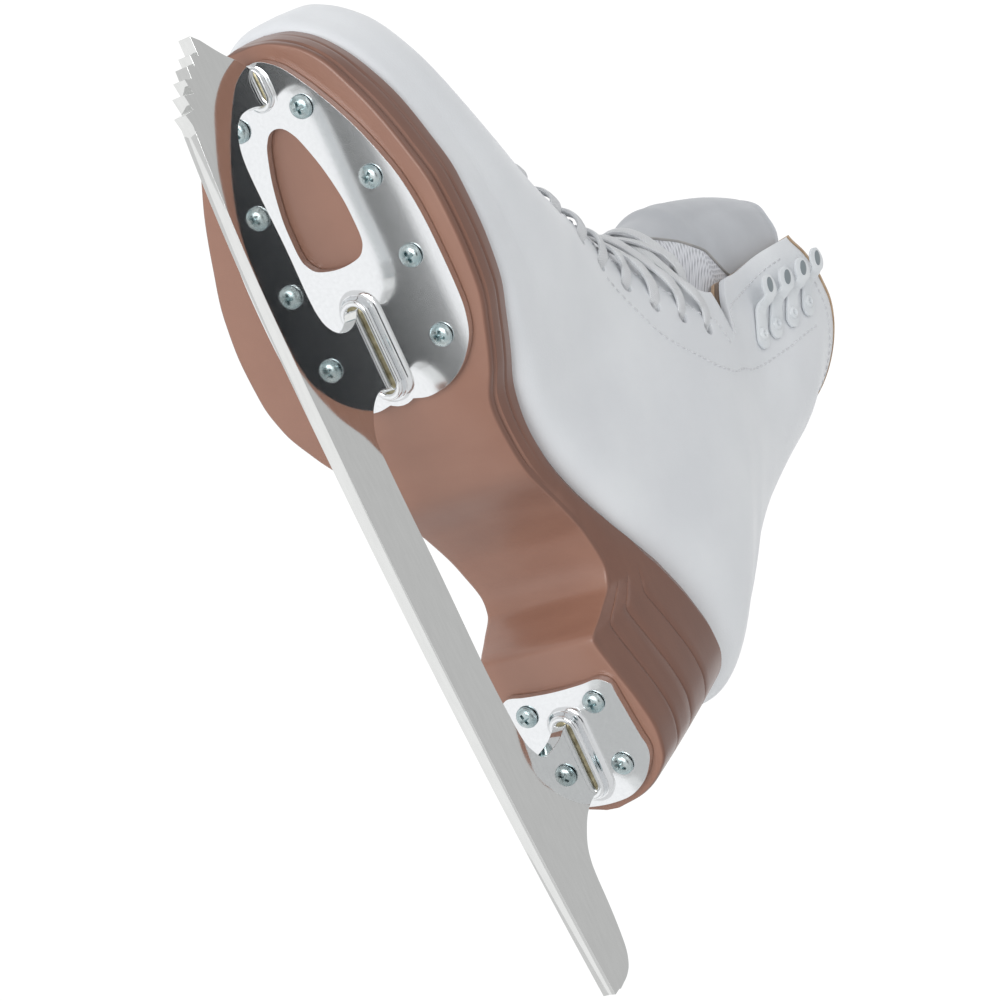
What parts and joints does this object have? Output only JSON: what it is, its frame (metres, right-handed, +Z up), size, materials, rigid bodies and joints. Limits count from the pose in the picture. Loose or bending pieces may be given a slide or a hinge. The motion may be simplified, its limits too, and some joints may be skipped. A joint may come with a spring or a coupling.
{
  "type": "figure skate",
  "caption": "Right-foot figure skate: white laced leather boot on a brown heeled sole with screwed-on mirror-finish blade and hinged-forward tongue.",
  "frame": {"origin": "lowest point of the blade's runner, in the blade's middle plane", "axes": "+X towards the toe, +Y towards the inner side of the foot, +Z up"},
  "size_m": [0.2835, 0.0852, 0.266],
  "materials": {
    "leather": "smooth white full-grain look, satin",
    "tan_lining": "matte tan lining",
    "fibre_board": "matte fibre board",
    "brown_sole": "satin moulded brown sole",
    "blade_steel": "mirror polished steel, ground runner",
    "nickel_plate": "nickel plated, mirror",
    "zinc_screw": "zinc plated, satin",
    "white_coating": "white baked coating, satin",
    "white_lace": "woven white cotton",
    "foam": "matte foam faced with fabric"
  },
  "bodies": {
    "skate": {"blade": "blade_steel", "sole_plate": "nickel_plate", "heel_plate": "nickel_plate", "outsole": "brown_sole", "steel_shank": "blade_steel", "upper": "leather", "lining": "tan_lining", "toe_puff": "fibre_board", "heel_counter": "fibre_board", "insole_board": "fibre_board", "collar_padding": "foam", "footbed": "foam", "eyelet_facing_inner": "leather", "eyelet_facing_outer": "leather", "hook_facing_inner": "leather", "hook_facing_outer": "leather", "tongue_lower": "leather", "lace": "white_lace", "sole_screw_1": "zinc_screw", "sole_screw_2": "zinc_screw", "sole_screw_3": "zinc_screw", "sole_screw_4": "zinc_screw", "sole_screw_5": "zinc_screw", "sole_screw_6": "zinc_screw", "sole_screw_7": "zinc_screw", "sole_screw_8": "zinc_screw", "heel_screw_1": "zinc_screw", "heel_screw_2": "zinc_screw", "heel_screw_3": "zinc_screw", "heel_screw_4": "zinc_screw", "hook_inner_1": "white_coating", "hook_inner_2": "white_coating", "hook_inner_3": "white_coating", "hook_inner_4": "white_coating", "hook_outer_1": "white_coating", "hook_outer_2": "white_coating", "hook_outer_3": "white_coating", "hook_outer_4": "white_coating"},
    "tongue": {"tongue_upper": "leather"}
  },
  "joints": [
    {"name": "tongue_fold", "type": "hinge", "parent": "skate", "child": "tongue", "pos_m": [-0.035, 0, 0.189], "axis": [0, 1, 0], "range_deg": [0, 30], "stiffness_Nm_per_rad": 0.2}
  ]
}
